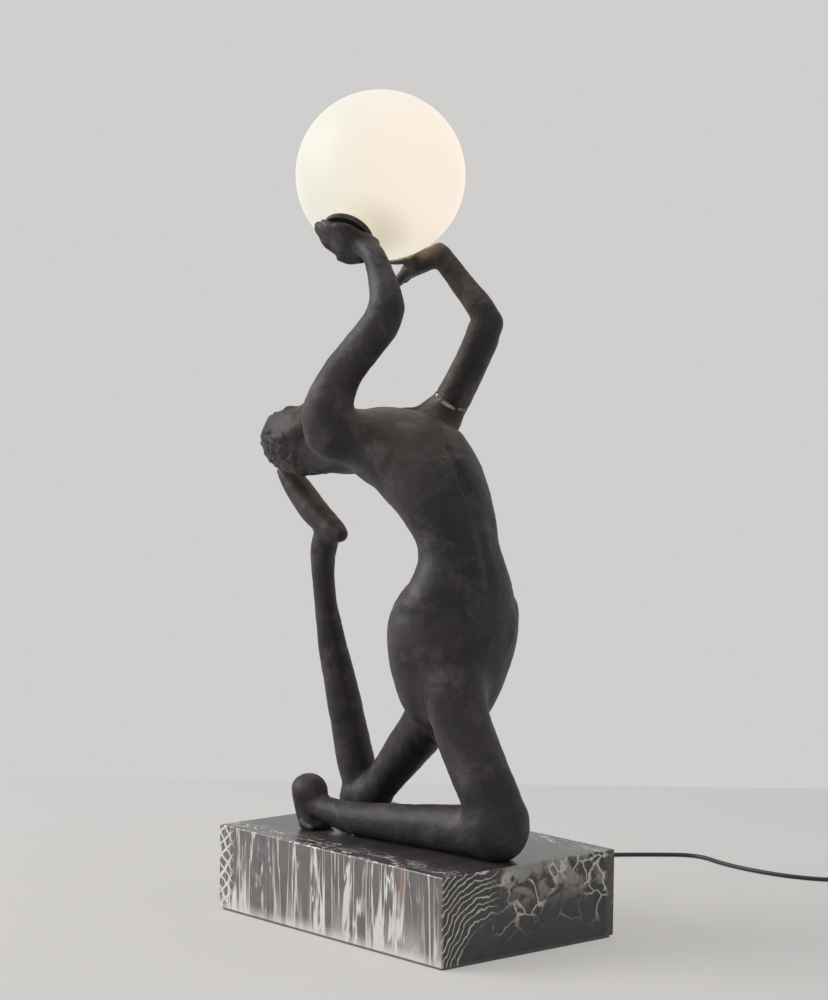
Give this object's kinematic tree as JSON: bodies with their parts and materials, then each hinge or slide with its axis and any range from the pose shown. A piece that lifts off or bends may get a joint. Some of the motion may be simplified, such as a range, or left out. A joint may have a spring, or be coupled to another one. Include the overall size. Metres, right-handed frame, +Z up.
{
  "type": "figural table lamp",
  "caption": "Table lamp: a cast back-bending figure kneels on a marble plinth and holds up an opal glass globe; lift-off globe, plug-in bulb and inline rocker switch.",
  "frame": {"origin": "centre of the plinth's underside, on the surface it stands on", "axes": "+Z up; +X along the plinth's long side, the way the figure faces; +Y to the figure's left"},
  "size_m": [0.5983, 0.5705, 0.7332],
  "materials": {
    "marble": "polished dark marble with pale veins",
    "felt": "felt",
    "steel": "zinc-plated",
    "black_plastic": "satin",
    "nylon": "natural nylon",
    "brass": "turned",
    "cord": "PVC sheath",
    "lead": "silicone-sheathed two-core lead",
    "dark_bronze": "darkened",
    "silicone": "clear silicone",
    "porcelain": "glazed",
    "bronze": "cast, dark patina, satin",
    "opal_glass": "opal white, satin",
    "bulb_glass": "frosted"
  },
  "bodies": {
    "lamp": {"marble_plinth": "marble", "felt_pad": "felt", "plinth_studs": "steel", "plinth_washers": "steel", "plinth_nuts": "steel", "cord_bushing": "black_plastic", "terminal_block": "nylon", "terminal_screws": "brass", "block_screw": "steel", "cord_tail": "cord", "inner_lead": "lead", "casting_pins": "steel", "tube_nipples": "brass", "holder_nipple": "brass", "gallery_cup": "dark_bronze", "globe_gasket": "silicone", "gallery_locknut": "brass", "lamp_holder": "porcelain", "holder_contacts": "brass", "switch_base": "black_plastic", "switch_cover": "black_plastic", "switch_screws": "steel", "cord_tie": "black_plastic", "plug_body": "black_plastic", "plug_pins": "steel", "torso_casting": "bronze", "head_casting": "bronze", "right_leg_casting": "bronze", "left_leg_casting": "bronze", "right_arm_casting": "bronze", "left_arm_casting": "bronze", "cord_to_switch": "cord", "cord_to_coil": "cord", "cord_to_plug": "cord", "cord_coil": "cord"},
    "globe": {"opal_globe": "opal_glass"},
    "bulb": {"bulb_envelope": "bulb_glass", "bulb_base": "porcelain", "bulb_pins": "steel"},
    "rocker": {"switch_rocker": "black_plastic"}
  },
  "joints": [
    {"name": "globe_lift", "type": "slide", "parent": "lamp", "child": "globe", "axis": [-0.2795, 0.6888, 0.6689], "range_m": [0, 0.09]},
    {"name": "bulb_pull", "type": "slide", "parent": "lamp", "child": "bulb", "axis": [-0.2795, 0.6888, 0.6689], "range_m": [0, 0.018]},
    {"name": "rocker_turn", "type": "hinge", "parent": "lamp", "child": "rocker", "pos_m": [0.256, 0.458, 0.0135], "axis": [0, 1, 0], "range_deg": [-14, 0]}
  ]
}
